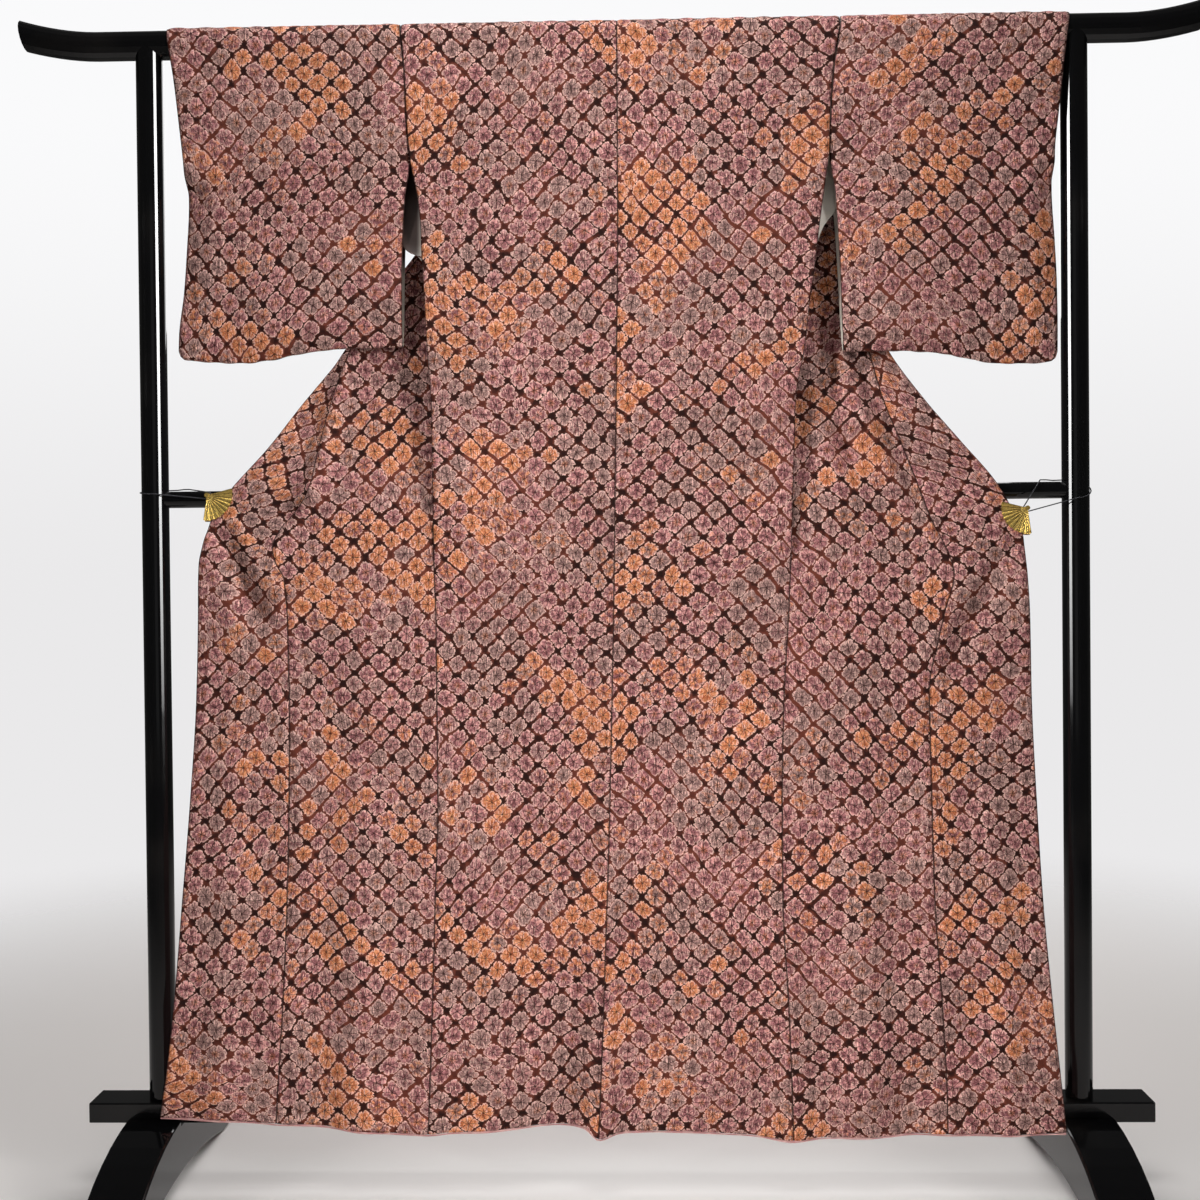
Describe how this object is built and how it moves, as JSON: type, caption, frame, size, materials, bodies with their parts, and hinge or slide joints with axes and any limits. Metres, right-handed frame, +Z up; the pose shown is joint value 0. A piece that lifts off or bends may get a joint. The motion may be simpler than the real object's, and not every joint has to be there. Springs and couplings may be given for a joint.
{
  "type": "kimono on a kimono stand",
  "caption": "Lined kimono hung open over the bar of a lacquered kimono stand, its fronts drawn out to the posts by fan clips on cord loops.",
  "frame": {"origin": "on the floor, under the middle of the stand's top bar", "axes": "+X along the bar to the right as seen from the kimono's back, +Y away from the viewer of the kimono's back, +Z up"},
  "size_m": [1.7722, 0.4876, 1.7585],
  "materials": {
    "silk": "matte dyed silk with a tied, puckered pattern",
    "lining": "plain smooth lining",
    "lacquer": "black gloss lacquer on wood",
    "gilt": "polished gilt metal",
    "cord": "round black elastic cord"
  },
  "bodies": {
    "root": {"body_left": "silk", "body_right": "silk", "sleeve_left": "silk", "sleeve_right": "silk", "okumi_left": "silk", "okumi_right": "silk", "collar": "silk", "hem_roll": "lining", "top_bar": "lacquer", "post_left": "lacquer", "post_right": "lacquer", "mid_rail": "lacquer", "base_board": "lacquer", "foot_left": "lacquer", "foot_right": "lacquer", "clip_left": "gilt", "clip_right": "gilt", "clip_cord_left": "cord", "clip_cord_right": "cord"}
  },
  "joints": []
}
